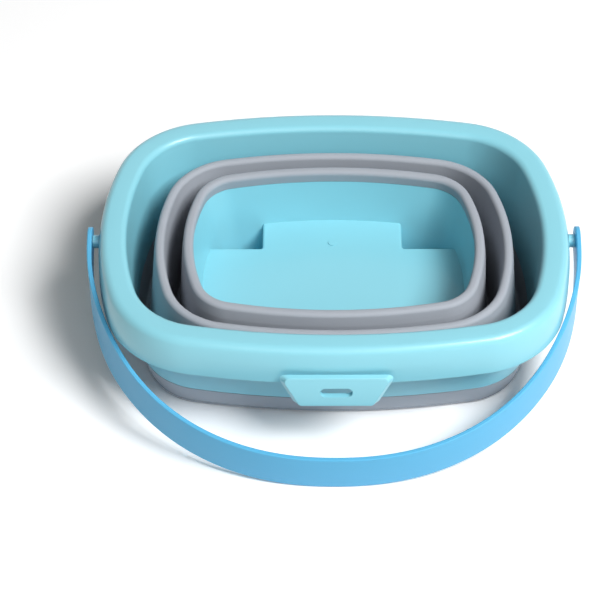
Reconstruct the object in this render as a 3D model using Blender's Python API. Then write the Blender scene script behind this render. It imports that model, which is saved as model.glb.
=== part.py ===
"""Collapsible camp bucket, folded flat: rigid rim, soft stepped wall, rigid tray and a swinging strap.

Metres, +Z up. The origin is on the bucket's vertical axis at floor level, -Y is the tab's side,
and the handle swings about the X line through the two pivot pins.
"""
import bpy
import bmesh
from math import asin, atan2, cos, hypot, pi, radians, sin, sqrt
from mathutils import Matrix, Vector

COLLECTION = "collapsible_camp_bucket"
GAP = 0.0003
OVERRUN = 0.010

# Rim outline: a rectangle with bowed sides and round corners
RIM_HALF_WIDTH = 0.150
RIM_HALF_DEPTH = 0.1125
RIM_CORNER_RADIUS = 0.0625
RIM_LONG_BOW_RADIUS = 0.505
RIM_SHORT_BOW_RADIUS = 0.216

# Rigid rim section
RIM_HEIGHT = 0.082
RIM_SKIRT_DEPTH = 0.0270
RIM_SKIRT_FLARE = 0.0024
RIM_BAND_WIDTH = 0.0165
RIM_BAND_FALL = 0.0006
RIM_SHOULDER_RADIUS = 0.0055
RIM_LIP_RADIUS = 0.0022
RIM_WALL_DRAFT = 0.0047
RIM_WALL_BOTTOM = 0.019
RIGID_WALL = 0.0024

# Soft hem under the rim and the fold that turns at floor level
HEM_DRAFT = 0.0034
HEM_BOTTOM = 0.0046
SKIN = 0.0020
FOLD_GAP = 0.0036
FOLD_BOTTOM = 0.0014

# Middle band and its crest
BAND_STEP_SIDE = 0.0340
BAND_STEP_FRONT = 0.0250
BAND_HEIGHT = 0.0655
CREST_DEPTH = 0.0080
CREST_RADIUS = 0.0028
BAND_CREST_WIDTH = 0.0070
BAND_DRAFT_SIDE = 0.0040
BAND_DRAFT_FRONT = 0.0030
BAND_BOTTOM = 0.0050
INNER_FOLD_GAP = 0.0032

# Rigid tray, its soft collar and the raised plus-shaped floor
TRAY_STEP_SIDE = 0.0175
TRAY_STEP_FRONT = 0.0158
TRAY_CORNER_RADIUS = 0.0310
TRAY_HEIGHT = 0.0700
COLLAR_WIDTH = 0.0067
COLLAR_DEPTH = 0.0090
TRAY_DRAFT_SIDE = 0.0098
TRAY_DRAFT_FRONT = 0.0073
TRAY_FLANGE = 0.0020
FOOT_RADIUS = 0.0040
FLOOR_HEIGHT = 0.0295
POCKET_WIDTH = 0.0350
POCKET_DEPTH = 0.0247
GATE_RADIUS = 0.0022
GATE_HEIGHT = 0.0006
GATE_SETBACK = 0.0050
RIB_THICKNESS = 0.0024
PAD_RADIUS = 0.0070

# Front tab with its slot
TAB_TOP_WIDTH = 0.0673
TAB_BOTTOM_WIDTH = 0.0456
TAB_SIDE_DRAFT = 0.0030
TAB_THICKNESS = 0.0034
TAB_RISE = 0.0100
TAB_DROP = 0.0105
TAB_STANDOFF = 0.0012
TAB_LEAN = 0.0040
TAB_CORNER_RADIUS = 0.0030
TAB_ROOT_SINK = 0.0006
SLOT_WIDTH = 0.0200
SLOT_HEIGHT = 0.0064
SLOT_DROP = 0.0074

# Strap handle and the two pivot pins
PIVOT_DROP = 0.0150
STRAP_STANDOFF = 0.0060
STRAP_THICKNESS = 0.0030
STRAP_REACH = 0.0023
STRAP_WIDTH = 0.0285
STRAP_END_RADIUS = 0.0095
STRAP_EDGE = 0.0008
STRAP_FLOOR_CLEARANCE = 0.0005
PIN_RADIUS = 0.0035
PIN_COLLAR_RADIUS = 0.0044
PIN_HEAD_RADIUS = 0.0050
PIN_HEAD_THICKNESS = 0.0012
PIN_BARB_RADIUS = 0.0047
PIN_BARB_LENGTH = 0.0032

# Angles
STRAP_LEAN = radians(12.5)
STRAP_PROBE = radians(0.5)
SHARP_ANGLE = radians(35)

# Shares of the folds' turns, of the strap's sweep and of the pin's tip
FOLD_TURN_SHARES = (0.18, 0.5, 0.82)
FOLD_RISE_SHARE = 0.25
STRAP_NECK_SHARE = 0.24
STRAP_LEAN_SHARE = 0.55
STRAP_SQUARE_SHARE = 2 / 2.19
PIN_TIP_SHARE = 0.62

# Counts
LONG_STEPS = 5
CORNER_STEPS = 8
SHORT_STEPS = 4
ROUND_STEPS = 3
STRAP_STEPS = 40
STRAP_END_STEPS = 5
TURN_STEPS = 24
TILT_ROUNDS = 20

# Colours as linear RGB, and how rough each surface is
TURQUOISE = (0.270, 0.680, 0.760)
GREY = (0.500, 0.545, 0.590)
BLUE = (0.150, 0.500, 0.830)
TURQUOISE_ROUGHNESS = 0.32
GREY_ROUGHNESS = 0.55
BLUE_ROUGHNESS = 0.38


class Outline:
    """A rectangle with bowed sides and round corners, centred on the bucket's axis."""

    def __init__(self, half_width, half_depth, corner, long_bow, short_bow):
        self.half_width = half_width
        self.half_depth = half_depth
        self.corner = corner
        self.long_bow = long_bow
        self.short_bow = short_bow

    def inset(self, side, front=None):
        """The outline a wall's thickness further in, or drawn in unlike amounts in width and depth."""
        if front is None or abs(side - front) < GAP:
            return Outline(self.half_width - side, self.half_depth - side, self.corner - side,
                           self.long_bow - side, self.short_bow - side)
        scale = (self.half_width - side) / self.half_width
        return Outline(self.half_width - side, self.half_depth - front, self.corner * scale,
                       self.long_bow * scale, self.short_bow * scale)

    def with_corner(self, radius):
        return Outline(self.half_width, self.half_depth, radius, self.long_bow, self.short_bow)

    def corner_centre(self):
        """Where the corner's circle touches both bowed sides from inside."""
        long_y = self.half_depth - self.long_bow
        short_x = self.half_width - self.short_bow
        long_reach = self.long_bow - self.corner
        short_reach = self.short_bow - self.corner
        span = hypot(short_x, long_y)
        along = (long_reach ** 2 - short_reach ** 2 + span ** 2) / (2 * span)
        across = sqrt(long_reach ** 2 - along ** 2)
        unit_x, unit_y = short_x / span, -long_y / span
        first = (along * unit_x - across * unit_y, long_y + along * unit_y + across * unit_x)
        second = (along * unit_x + across * unit_y, long_y + along * unit_y - across * unit_x)
        return max(first, second, key=lambda centre: centre[0] + centre[1])

    def points(self):
        """One turn of (x, y) points, counterclockwise from the middle of the right side."""
        centre_x, centre_y = self.corner_centre()
        long_y = self.half_depth - self.long_bow
        short_x = self.half_width - self.short_bow
        side_end = atan2(centre_y, centre_x - short_x)
        long_start = atan2(centre_y - long_y, centre_x)
        quarter = arc(short_x, 0, self.short_bow, 0, side_end, SHORT_STEPS)
        quarter += arc(centre_x, centre_y, self.corner, side_end, long_start, CORNER_STEPS)[1:]
        quarter += arc(0, long_y, self.long_bow, long_start, pi / 2, LONG_STEPS)[1:]
        half = quarter + [(-x, y) for x, y in reversed(quarter[:-1])]
        return half + [(x, -y) for x, y in reversed(half[1:-1])]


def arc(centre_x, centre_y, radius, start, end, steps):
    """Points on an arc, both ends included."""
    turns = [start + (end - start) * step / steps for step in range(steps + 1)]
    return [(centre_x + radius * cos(turn), centre_y + radius * sin(turn)) for turn in turns]


def blend(first, second, share):
    """The outline part of the way from one outline to another."""
    pairs = [(first.half_width, second.half_width), (first.half_depth, second.half_depth),
             (first.corner, second.corner), (first.long_bow, second.long_bow),
             (first.short_bow, second.short_bow)]
    return Outline(*[a + (b - a) * share for a, b in pairs])


RIM = Outline(RIM_HALF_WIDTH, RIM_HALF_DEPTH, RIM_CORNER_RADIUS, RIM_LONG_BOW_RADIUS,
              RIM_SHORT_BOW_RADIUS)
HEM_TOP_INSET = RIM_BAND_WIDTH + RIM_WALL_DRAFT - RIGID_WALL
HEM_BOTTOM_INSET = HEM_TOP_INSET + HEM_DRAFT
FOLD_INSET = HEM_BOTTOM_INSET + SKIN + FOLD_GAP
BAND = RIM.inset(BAND_STEP_SIDE, BAND_STEP_FRONT)
BAND_INNER_TOP = BAND.inset(BAND_CREST_WIDTH)
BAND_INNER_BOTTOM = BAND_INNER_TOP.inset(BAND_DRAFT_SIDE, BAND_DRAFT_FRONT)
INNER_FOLD = BAND_INNER_BOTTOM.inset(INNER_FOLD_GAP)
TRAY = BAND.inset(TRAY_STEP_SIDE, TRAY_STEP_FRONT).with_corner(TRAY_CORNER_RADIUS)
TRAY_INNER_TOP = TRAY.inset(COLLAR_WIDTH)
TRAY_INNER_BOTTOM = TRAY_INNER_TOP.inset(TRAY_DRAFT_SIDE, TRAY_DRAFT_FRONT)
TRAY_TOP = TRAY_HEIGHT - COLLAR_DEPTH
PLUS_HALF_WIDTH = TRAY_INNER_BOTTOM.half_width - POCKET_WIDTH
PLUS_HALF_DEPTH = TRAY_INNER_BOTTOM.half_depth - POCKET_DEPTH
CREST_UNDERSIDE = BAND_HEIGHT - CREST_DEPTH
SKIRT_BOTTOM = RIM_HEIGHT - RIM_SKIRT_DEPTH
PIVOT_HEIGHT = RIM_HEIGHT - PIVOT_DROP
STRAP_HALF_SPAN = RIM_HALF_WIDTH + STRAP_STANDOFF + STRAP_THICKNESS / 2
STRAP_LENGTHWAYS = STRAP_HALF_SPAN + STRAP_REACH


def material(name, colour, roughness):
    shader_material = bpy.data.materials.new(name)
    shader_material.use_nodes = True
    shader = shader_material.node_tree.nodes["Principled BSDF"]
    shader.inputs["Base Color"].default_value = (*colour, 1)
    shader.inputs["Roughness"].default_value = roughness
    shader.inputs["Metallic"].default_value = 0
    shader_material.diffuse_color = (*colour, 1)
    return shader_material


def add_object(name, mesh, collection, finish=None):
    """Link a mesh as a smooth-shaded object."""
    mesh.shade_smooth()
    mesh.set_sharp_from_angle(angle=SHARP_ANGLE)
    item = bpy.data.objects.new(name, mesh)
    collection.objects.link(item)
    if finish:
        mesh.materials.append(finish)
    return item


def mesh_from(name, shape):
    """Turn a bmesh into a mesh with its faces pointing out."""
    bmesh.ops.recalc_face_normals(shape, faces=shape.faces)
    mesh = bpy.data.meshes.new(name)
    shape.to_mesh(mesh)
    shape.free()
    return mesh


def loft(name, rings, is_loop):
    """Join rings of equal counts; a loop closes on its first ring, and a stack gets end caps."""
    shape = bmesh.new()
    rows = [[shape.verts.new(point) for point in ring] for ring in rings]
    pairs = list(zip(rows, rows[1:]))
    if is_loop:
        pairs.append((rows[-1], rows[0]))
    for lower, upper in pairs:
        for index in range(len(lower)):
            after = (index + 1) % len(lower)
            shape.faces.new((lower[index], lower[after], upper[after], upper[index]))
    if not is_loop:
        shape.faces.new(rows[0])
        shape.faces.new(rows[-1])
    return mesh_from(name, shape)


def ring_at(outline, height):
    return [(x, y, height) for x, y in outline.points()]


def wall(name, levels, is_loop=True):
    """Loft a wall from (outline, height) levels."""
    return loft(name, [ring_at(outline, height) for outline, height in levels], is_loop)


def prism(name, outline, bottom, top):
    """A flat outline raised from bottom to top."""
    shape = bmesh.new()
    base = shape.faces.new([shape.verts.new((x, y, bottom)) for x, y in outline])
    raised = bmesh.ops.extrude_face_region(shape, geom=[base])
    corners = [item for item in raised["geom"] if isinstance(item, bmesh.types.BMVert)]
    bmesh.ops.translate(shape, verts=corners, vec=(0, 0, top - bottom))
    return mesh_from(name, shape)


def cylinder(name, radius, depth):
    """A closed round bar along Z about the origin."""
    shape = bmesh.new()
    bmesh.ops.create_cone(shape, cap_ends=True, segments=TURN_STEPS, radius1=radius,
                          radius2=radius, depth=depth)
    return mesh_from(name, shape)


def boolean(item, cutter, operation):
    """Apply an exact Boolean to an object and keep the result as its mesh."""
    step = item.modifiers.new(operation.lower(), "BOOLEAN")
    step.operation = operation
    step.solver = "EXACT"
    step.object = cutter
    graph = bpy.context.evaluated_depsgraph_get()
    result = bpy.data.meshes.new_from_object(item.evaluated_get(graph))
    item.modifiers.remove(step)
    item.data = result


def add_cutter(name, mesh, collection, location=(0, 0, 0), rotation=(0, 0, 0)):
    """A hidden object that a Boolean adds to a piece or takes away from it."""
    cutter = add_object(name, mesh, collection)
    cutter.hide_render = True
    cutter.display_type = "WIRE"
    cutter.location = location
    cutter.rotation_euler = rotation
    bpy.context.view_layer.update()
    return cutter


def rim_frame(parts, cutters, finish):
    """The rigid channel: skirt, top band, inner wall and the front tab."""
    inner_edge = RIM_HEIGHT - RIM_BAND_FALL
    wall_top = inner_edge - RIM_LIP_RADIUS
    shoulder = arc(RIM_SHOULDER_RADIUS, RIM_HEIGHT - RIM_SHOULDER_RADIUS, RIM_SHOULDER_RADIUS,
                   pi, pi / 2, ROUND_STEPS + 1)
    lip = arc(RIM_BAND_WIDTH - RIM_LIP_RADIUS, wall_top, RIM_LIP_RADIUS, pi / 2, 0, ROUND_STEPS)
    inner_wall = [(RIM_BAND_WIDTH + RIM_WALL_DRAFT, RIM_WALL_BOTTOM), (HEM_TOP_INSET, RIM_WALL_BOTTOM)]
    ceiling = RIM_HEIGHT - RIGID_WALL - RIM_BAND_FALL
    under = [(RIM_BAND_WIDTH - RIGID_WALL, ceiling),
             (RIM_SHOULDER_RADIUS, ceiling),
             (RIGID_WALL, RIM_HEIGHT - RIM_SHOULDER_RADIUS)]
    skirt = [(RIGID_WALL - RIM_SKIRT_FLARE, SKIRT_BOTTOM), (-RIM_SKIRT_FLARE, SKIRT_BOTTOM)]
    section = skirt + shoulder + lip + inner_wall + under
    mesh = wall("rim_frame", [(RIM.inset(inset), height) for inset, height in section])
    rim = add_object("rim_frame", mesh, parts, finish)
    boolean(rim, front_tab(cutters), "UNION")
    boolean(rim, tab_slot(cutters), "DIFFERENCE")
    for side in (-1, 1):
        bore = add_cutter("pin_bore", cylinder("pin_bore", PIN_RADIUS + GAP, 2 * OVERRUN), cutters,
                          (side * RIM_HALF_WIDTH, 0, PIVOT_HEIGHT), (0, pi / 2, 0))
        boolean(rim, bore, "DIFFERENCE")
    return rim


def tab_levels():
    """The tab's front face as (height, y, half width), from its bottom edge to its top edge."""
    front_y = -RIM_HALF_DEPTH - RIM_SKIRT_FLARE - TAB_STANDOFF - TAB_THICKNESS
    top = SKIRT_BOTTOM + TAB_RISE
    bottom = SKIRT_BOTTOM - TAB_DROP
    return [(bottom, front_y - TAB_LEAN, TAB_BOTTOM_WIDTH / 2), (top, front_y, TAB_TOP_WIDTH / 2)]


def front_tab(cutters):
    """A leaning trapezoid plate that a foot along its top joins to the skirt."""
    (bottom, bottom_y, bottom_half), (top, top_y, top_half) = tab_levels()
    soft = TAB_CORNER_RADIUS
    steps = [(bottom, bottom_half - soft), (bottom + soft, bottom_half)]
    steps += [(top - soft, top_half), (top, top_half - soft)]
    rings = []
    for height, half in steps:
        share = (height - bottom) / (top - bottom)
        front = bottom_y + (top_y - bottom_y) * share
        back = front + TAB_THICKNESS
        wide = half + TAB_SIDE_DRAFT
        rings.append([(-half, front, height), (half, front, height),
                      (wide, back, height), (-wide, back, height)])
    tab = add_cutter("front_tab", loft("front_tab", rings, False), cutters)
    root_half = top_half - soft
    reach = top_y + TAB_THICKNESS / 2
    depth = -RIM_HALF_DEPTH + root_half ** 2 / (2 * RIM_LONG_BOW_RADIUS) + TAB_ROOT_SINK
    root_outline = [(-root_half, reach), (root_half, reach), (root_half, depth), (-root_half, depth)]
    root_bottom = SKIRT_BOTTOM + RIGID_WALL
    root = add_cutter("tab_root", prism("tab_root", root_outline, root_bottom, top - soft), cutters)
    boolean(tab, root, "UNION")
    return tab


def tab_slot(cutters):
    """The slot's cutter, with round ends, run through the tab and the skirt's edge behind it."""
    centre = SKIRT_BOTTOM + TAB_RISE - SLOT_DROP - SLOT_HEIGHT / 2
    radius = SLOT_HEIGHT / 2
    half = SLOT_WIDTH / 2 - radius
    outline = arc(half, 0, radius, -pi / 2, pi / 2, 2 * ROUND_STEPS)
    outline += arc(-half, 0, radius, pi / 2, 3 * pi / 2, 2 * ROUND_STEPS)
    return add_cutter("tab_slot", prism("tab_slot", outline, -OVERRUN, OVERRUN), cutters,
                      (0, -RIM_HALF_DEPTH - TAB_STANDOFF, centre), (pi / 2, 0, 0))


def rim_hem(parts, finish):
    """The soft hem that carries the rim's inner wall down to the fold."""
    top = RIM_WALL_BOTTOM - GAP
    levels = [(RIM.inset(HEM_BOTTOM_INSET), HEM_BOTTOM), (RIM.inset(HEM_TOP_INSET), top),
              (RIM.inset(HEM_TOP_INSET + SKIN), top), (RIM.inset(HEM_BOTTOM_INSET + SKIN), HEM_BOTTOM)]
    return add_object("rim_hem", wall("rim_hem", levels), parts, finish)


def fold_levels(outer, outer_top, inner_bottom, inner_top, top):
    """A U-turn at floor level with a soft wall that rises from it to a crest.

    outer is the outward face where the turn starts and outer_top its height; inner_bottom and
    inner_top are the rising wall's outward face at its ends, and top its height there.
    """
    start = outer.inset(SKIN)
    under = inner_bottom.inset(SKIN)
    turn = [blend(outer, under, share) for share in FOLD_TURN_SHARES]
    low = FOLD_BOTTOM + (outer_top - FOLD_BOTTOM) * FOLD_RISE_SHARE
    trough = FOLD_BOTTOM + SKIN
    return [(outer, outer_top), (turn[0], low), (turn[1], FOLD_BOTTOM), (turn[2], low),
            (under, outer_top), (inner_top.inset(SKIN), top), (inner_top, top),
            (inner_bottom, outer_top + SKIN), (blend(start, inner_bottom, FOLD_TURN_SHARES[1]), trough),
            (start, outer_top)]


def outer_fold(parts, finish):
    """The soft wall between the hem and the middle band's crest."""
    levels = fold_levels(RIM.inset(HEM_BOTTOM_INSET), HEM_BOTTOM - GAP, RIM.inset(FOLD_INSET),
                         BAND, CREST_UNDERSIDE - GAP)
    return add_object("outer_fold", wall("outer_fold", levels), parts, finish)


def crest_section(top, radius, width):
    """The rounded top of a crest as (inset, height), from its outer to its inner side."""
    section = arc(radius, top - radius, radius, pi, pi / 2, ROUND_STEPS)
    return section + arc(width - radius, top - radius, radius, pi / 2, 0, ROUND_STEPS)


def middle_band(parts, finish):
    """The middle of the wall: a thick crest with a skirt that hangs from its inner side."""
    crest = crest_section(BAND_HEIGHT, CREST_RADIUS, BAND_CREST_WIDTH)
    levels = [(BAND, CREST_UNDERSIDE)] + [(BAND.inset(inset), height) for inset, height in crest]
    levels += [(BAND_INNER_BOTTOM, BAND_BOTTOM), (BAND_INNER_BOTTOM.inset(-SKIN), BAND_BOTTOM),
               (BAND_INNER_TOP.inset(-SKIN), CREST_UNDERSIDE)]
    return add_object("middle_band", wall("middle_band", levels), parts, finish)


def inner_fold(parts, finish):
    """The soft wall between the middle band's foot and the tray's collar."""
    levels = fold_levels(BAND_INNER_BOTTOM.inset(-SKIN), BAND_BOTTOM - GAP, INNER_FOLD, TRAY,
                         TRAY_TOP - GAP)
    return add_object("inner_fold", wall("inner_fold", levels), parts, finish)


def tray_collar(parts, finish):
    """The soft collar over the tray's edge."""
    crest = crest_section(TRAY_HEIGHT, CREST_RADIUS, COLLAR_WIDTH)
    levels = [(TRAY, TRAY_TOP)] + [(TRAY.inset(inset), height) for inset, height in crest]
    levels.append((TRAY_INNER_TOP, TRAY_TOP))
    return add_object("tray_collar", wall("tray_collar", levels), parts, finish)


def plus_outline(half_width, half_depth, reach):
    """A plus with four arms, half_width and half_depth across, that run out past the walls by reach."""
    side = TRAY_INNER_TOP.half_width + reach
    front = TRAY_INNER_TOP.half_depth + reach
    quarter = [(side, half_depth), (half_width, half_depth), (half_width, front)]
    right = [(x, -y) for x, y in reversed(quarter)] + quarter
    return right + [(-x, y) for x, y in reversed(right)]


def tray_outside():
    """Levels of the tray's outer face, from its feet to under the flange."""
    outer_bottom = TRAY_INNER_BOTTOM.inset(-RIGID_WALL)
    outer_top = TRAY_INNER_TOP.inset(-RIGID_WALL)
    foot = arc(FOOT_RADIUS, FOOT_RADIUS, FOOT_RADIUS, -pi / 2, -pi, ROUND_STEPS)
    levels = [(outer_bottom.inset(inset), height) for inset, height in foot]
    return levels + [(outer_top, TRAY_TOP - TRAY_FLANGE)]


def tray_cup(parts, finish):
    """The tray's drafted wall, flange and flat bottom, before its floor is raised."""
    top = TRAY_TOP - GAP
    foot = arc(FOOT_RADIUS, RIGID_WALL + FOOT_RADIUS, FOOT_RADIUS, pi, 3 * pi / 2, ROUND_STEPS)
    inside = [(TRAY_INNER_TOP, top)]
    inside += [(TRAY_INNER_BOTTOM.inset(inset), height) for inset, height in foot]
    flange = [(TRAY.inset(SKIN + GAP), TRAY_TOP - TRAY_FLANGE), (TRAY.inset(SKIN + GAP), top)]
    return add_object("base_tray", wall("base_tray", tray_outside() + flange + inside, False),
                      parts, finish)


def floor_limit():
    """Levels half-way through the tray's wall and bottom, where the raised floor ends."""
    middle = TRAY_INNER_BOTTOM.inset(-RIGID_WALL / 2)
    return [(middle.inset(FOOT_RADIUS), RIGID_WALL / 2), (middle, RIGID_WALL / 2 + FOOT_RADIUS),
            (TRAY_INNER_TOP.inset(-RIGID_WALL / 2), TRAY_TOP - TRAY_FLANGE)]


def base_tray(parts, cutters, finish):
    """The rigid tray: drafted wall, four corner feet and a raised floor that reaches every wall."""
    tray = tray_cup(parts, finish)
    plus = plus_outline(PLUS_HALF_WIDTH, PLUS_HALF_DEPTH, OVERRUN)
    raised = add_cutter("raised_floor", prism("raised_floor", plus, 0, FLOOR_HEIGHT), cutters)
    limit = add_cutter("floor_limit", wall("floor_limit", floor_limit(), False), cutters)
    boolean(raised, limit, "INTERSECT")
    boolean(tray, raised, "UNION")
    recess = plus_outline(PLUS_HALF_WIDTH - RIGID_WALL, PLUS_HALF_DEPTH - RIGID_WALL, 2 * OVERRUN)
    hollow = add_cutter("floor_recess", prism("floor_recess", recess, -OVERRUN,
                                              FLOOR_HEIGHT - RIGID_WALL), cutters)
    boolean(tray, hollow, "DIFFERENCE")
    for stiffener in underside_stiffeners(cutters):
        boolean(tray, stiffener, "UNION")
    gate_centre = FLOOR_HEIGHT + (GATE_HEIGHT - RIGID_WALL) / 2
    gate = add_cutter("gate_mark", cylinder("gate_mark", GATE_RADIUS, GATE_HEIGHT + RIGID_WALL),
                      cutters, (0, PLUS_HALF_DEPTH + GATE_SETBACK, gate_centre))
    boolean(tray, gate, "UNION")
    return tray


def underside_stiffeners(cutters):
    """A rib across the recess, just clear of the floor, and a round pad flush with the feet."""
    half = PLUS_HALF_WIDTH
    top = FLOOR_HEIGHT - RIGID_WALL / 2
    outline = [(-half, -RIB_THICKNESS / 2), (half, -RIB_THICKNESS / 2),
               (half, RIB_THICKNESS / 2), (-half, RIB_THICKNESS / 2)]
    rib = add_cutter("floor_rib", prism("floor_rib", outline, RIGID_WALL / 2, top), cutters)
    pad = add_cutter("floor_pad", cylinder("floor_pad", PAD_RADIUS, top), cutters, (0, 0, top / 2))
    return rib, pad


def strap_tilt():
    """How far below level the strap hangs so that its front edge just clears the floor."""
    tilt = 0
    for _ in range(TILT_ROUNDS):
        edge = (STRAP_WIDTH * cos(STRAP_LEAN - tilt) + STRAP_THICKNESS * sin(abs(STRAP_LEAN - tilt))) / 2
        tilt = asin((PIVOT_HEIGHT - STRAP_FLOOR_CLEARANCE - edge) / STRAP_LENGTHWAYS)
    return tilt


def strap_section(position, tangent, outward, lean, half_width):
    """A flat band's section with eased edges, leaning by turning about the strap's run."""
    turn = Matrix.Rotation(lean, 3, tangent)
    across = turn @ Vector((0, 0, 1))
    thick = turn @ outward
    half = STRAP_THICKNESS / 2
    bevel = min(STRAP_EDGE, half_width / 2)
    corners = [(half, half_width - bevel), (half - bevel, half_width), (bevel - half, half_width),
               (-half, half_width - bevel), (-half, bevel - half_width), (bevel - half, -half_width),
               (half - bevel, -half_width), (half, bevel - half_width)]
    return [position + thick * out + across * up for out, up in corners]


def ease(share):
    """A smooth step from 0 to 1."""
    share = min(share, 1)
    return share * share * (3 - 2 * share)


def strap_place(turn):
    """A point on the strap's centre line, a half ellipse with slightly squared shoulders."""
    side, front = cos(turn), sin(turn)
    squared_side = abs(side) ** STRAP_SQUARE_SHARE
    squared_front = abs(front) ** STRAP_SQUARE_SHARE
    return Vector((STRAP_HALF_SPAN * squared_side * (1 if side > 0 else -1),
                   -STRAP_LENGTHWAYS * squared_front, 0))


def strap_end(side, turns):
    """Sections of one round end, for the given turns about the pivot."""
    return [strap_section(Vector((side * STRAP_HALF_SPAN, STRAP_END_RADIUS * cos(turn), 0)),
                          Vector((0, -side, 0)), Vector((side, 0, 0)), 0, STRAP_END_RADIUS * sin(turn))
            for turn in turns]


def strap_rings():
    """Sections from one round end, along the half ellipse, to the other round end."""
    ends = [pi / 2 * step / STRAP_END_STEPS for step in range(1, STRAP_END_STEPS + 1)]
    rings = strap_end(1, ends)
    for step in range(1, STRAP_STEPS):
        turn = pi * step / STRAP_STEPS
        tangent = (strap_place(turn + STRAP_PROBE) - strap_place(turn - STRAP_PROBE)).normalized()
        outward = Vector((-tangent.y, tangent.x, 0))
        widen = ease(sin(turn) / STRAP_NECK_SHARE)
        half = STRAP_END_RADIUS + (STRAP_WIDTH / 2 - STRAP_END_RADIUS) * widen
        lean = STRAP_LEAN * ease(sin(turn) / STRAP_LEAN_SHARE)
        rings.append(strap_section(strap_place(turn), tangent, outward, lean, half))
    return rings + strap_end(-1, reversed(ends))


def handle_strap(parts, cutters, finish):
    """The strap, modelled level about its pivot line, bored at both ends and hung at its rest tilt."""
    strap = add_object("handle_strap", loft("handle_strap", strap_rings(), False), parts, finish)
    sink_depth = PIN_HEAD_THICKNESS + GAP
    sink_centre = STRAP_HALF_SPAN + STRAP_THICKNESS / 2 - sink_depth / 2 + OVERRUN / 2
    holes = [("strap_bore", PIN_RADIUS + GAP, 2 * OVERRUN, STRAP_HALF_SPAN),
             ("strap_sink", PIN_HEAD_RADIUS + GAP, sink_depth + OVERRUN, sink_centre)]
    for side in (-1, 1):
        for name, radius, depth, centre in holes:
            bar = cylinder(name, radius, depth)
            bar.transform(Matrix.Rotation(pi / TURN_STEPS, 4, "Z"))
            cutter = add_cutter(name, bar, cutters, (side * centre, 0, 0), (0, pi / 2, 0))
            boolean(strap, cutter, "DIFFERENCE")
    strap.location = (0, 0, PIVOT_HEIGHT)
    strap.rotation_euler = (strap_tilt(), 0, 0)
    return strap


def skirt_flare_at(height):
    """How far the drafted skirt stands out past the rim's outline at a height."""
    shoulder = RIM_HEIGHT - RIM_SHOULDER_RADIUS
    return RIM_SKIRT_FLARE * (shoulder - height) / (shoulder - SKIRT_BOTTOM)


def pin_profile():
    """The pin's profile as (distance along the pin from the rim's outline, radius)."""
    head_face = STRAP_STANDOFF + STRAP_THICKNESS - PIN_HEAD_THICKNESS
    collar_end = STRAP_STANDOFF - GAP
    collar_start = skirt_flare_at(PIVOT_HEIGHT - PIN_COLLAR_RADIUS) + GAP
    barb = skirt_flare_at(PIVOT_HEIGHT + PIN_BARB_RADIUS) - RIGID_WALL - GAP
    return [(head_face + PIN_HEAD_THICKNESS, PIN_HEAD_RADIUS), (head_face, PIN_HEAD_RADIUS),
            (head_face, PIN_RADIUS), (collar_end, PIN_RADIUS), (collar_end, PIN_COLLAR_RADIUS),
            (collar_start, PIN_COLLAR_RADIUS), (collar_start, PIN_RADIUS), (barb, PIN_RADIUS),
            (barb, PIN_BARB_RADIUS), (barb - PIN_BARB_LENGTH, PIN_BARB_RADIUS * PIN_TIP_SHARE)]


def pivot_pin(name, side, parts, finish):
    """A snap-in pin, turned about the pivot line, through one strap end into the rim's skirt."""
    rings = []
    for along, radius in pin_profile():
        turns = [side * 2 * pi * step / TURN_STEPS for step in range(TURN_STEPS)]
        place = side * (RIM_HALF_WIDTH + along)
        rings.append([(place, radius * cos(turn), radius * sin(turn)) for turn in turns])
    pin = add_object(name, loft(name, rings, False), parts, finish)
    pin.location = (0, 0, PIVOT_HEIGHT)
    return pin


def build():
    for item in list(bpy.data.objects):
        bpy.data.objects.remove(item, do_unlink=True)
    parts = bpy.data.collections.new(COLLECTION)
    cutters = bpy.data.collections.new("cutters")
    bpy.context.scene.collection.children.link(parts)
    bpy.context.scene.collection.children.link(cutters)
    turquoise = material("turquoise_plastic", TURQUOISE, TURQUOISE_ROUGHNESS)
    grey = material("grey_rubber", GREY, GREY_ROUGHNESS)
    blue = material("blue_plastic", BLUE, BLUE_ROUGHNESS)
    rim_frame(parts, cutters, turquoise)
    rim_hem(parts, grey)
    outer_fold(parts, grey)
    middle_band(parts, grey)
    inner_fold(parts, grey)
    tray_collar(parts, grey)
    base_tray(parts, cutters, turquoise)
    handle_strap(parts, cutters, blue)
    pivot_pin("pivot_pin_right", 1, parts, turquoise)
    pivot_pin("pivot_pin_left", -1, parts, turquoise)


build()
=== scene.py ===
"""Looks of the collapsible camp bucket, folded flat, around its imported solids.

Metres, +Z up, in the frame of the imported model. Each piece is a finer mesh of the solid that it
stands for, made from the same sizes, and rides on the same body.
"""

from math import asin, atan2, cos, hypot, pi, radians, sin, sqrt, tan

import bmesh
import bpy
from mathutils import Matrix, Vector


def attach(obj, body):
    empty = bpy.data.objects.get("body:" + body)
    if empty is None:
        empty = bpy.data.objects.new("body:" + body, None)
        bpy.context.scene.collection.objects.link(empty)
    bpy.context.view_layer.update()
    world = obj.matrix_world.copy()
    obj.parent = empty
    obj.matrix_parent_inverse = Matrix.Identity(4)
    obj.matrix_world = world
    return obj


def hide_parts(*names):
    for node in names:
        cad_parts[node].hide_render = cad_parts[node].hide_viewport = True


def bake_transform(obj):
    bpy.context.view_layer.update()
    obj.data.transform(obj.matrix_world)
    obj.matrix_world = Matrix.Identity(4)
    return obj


# How far a cutter runs past a piece, the gap between pieces, and the gap where a fold meets a crest
OVERRUN = 0.010
GAP = 0.0003
SEAM = 0.00002

# Rim outline: a rectangle with bowed sides and round corners
RIM_HALF_WIDTH = 0.150
RIM_HALF_DEPTH = 0.1125
RIM_CORNER_RADIUS = 0.0625
RIM_LONG_BOW_RADIUS = 0.505
RIM_SHORT_BOW_RADIUS = 0.216

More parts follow.
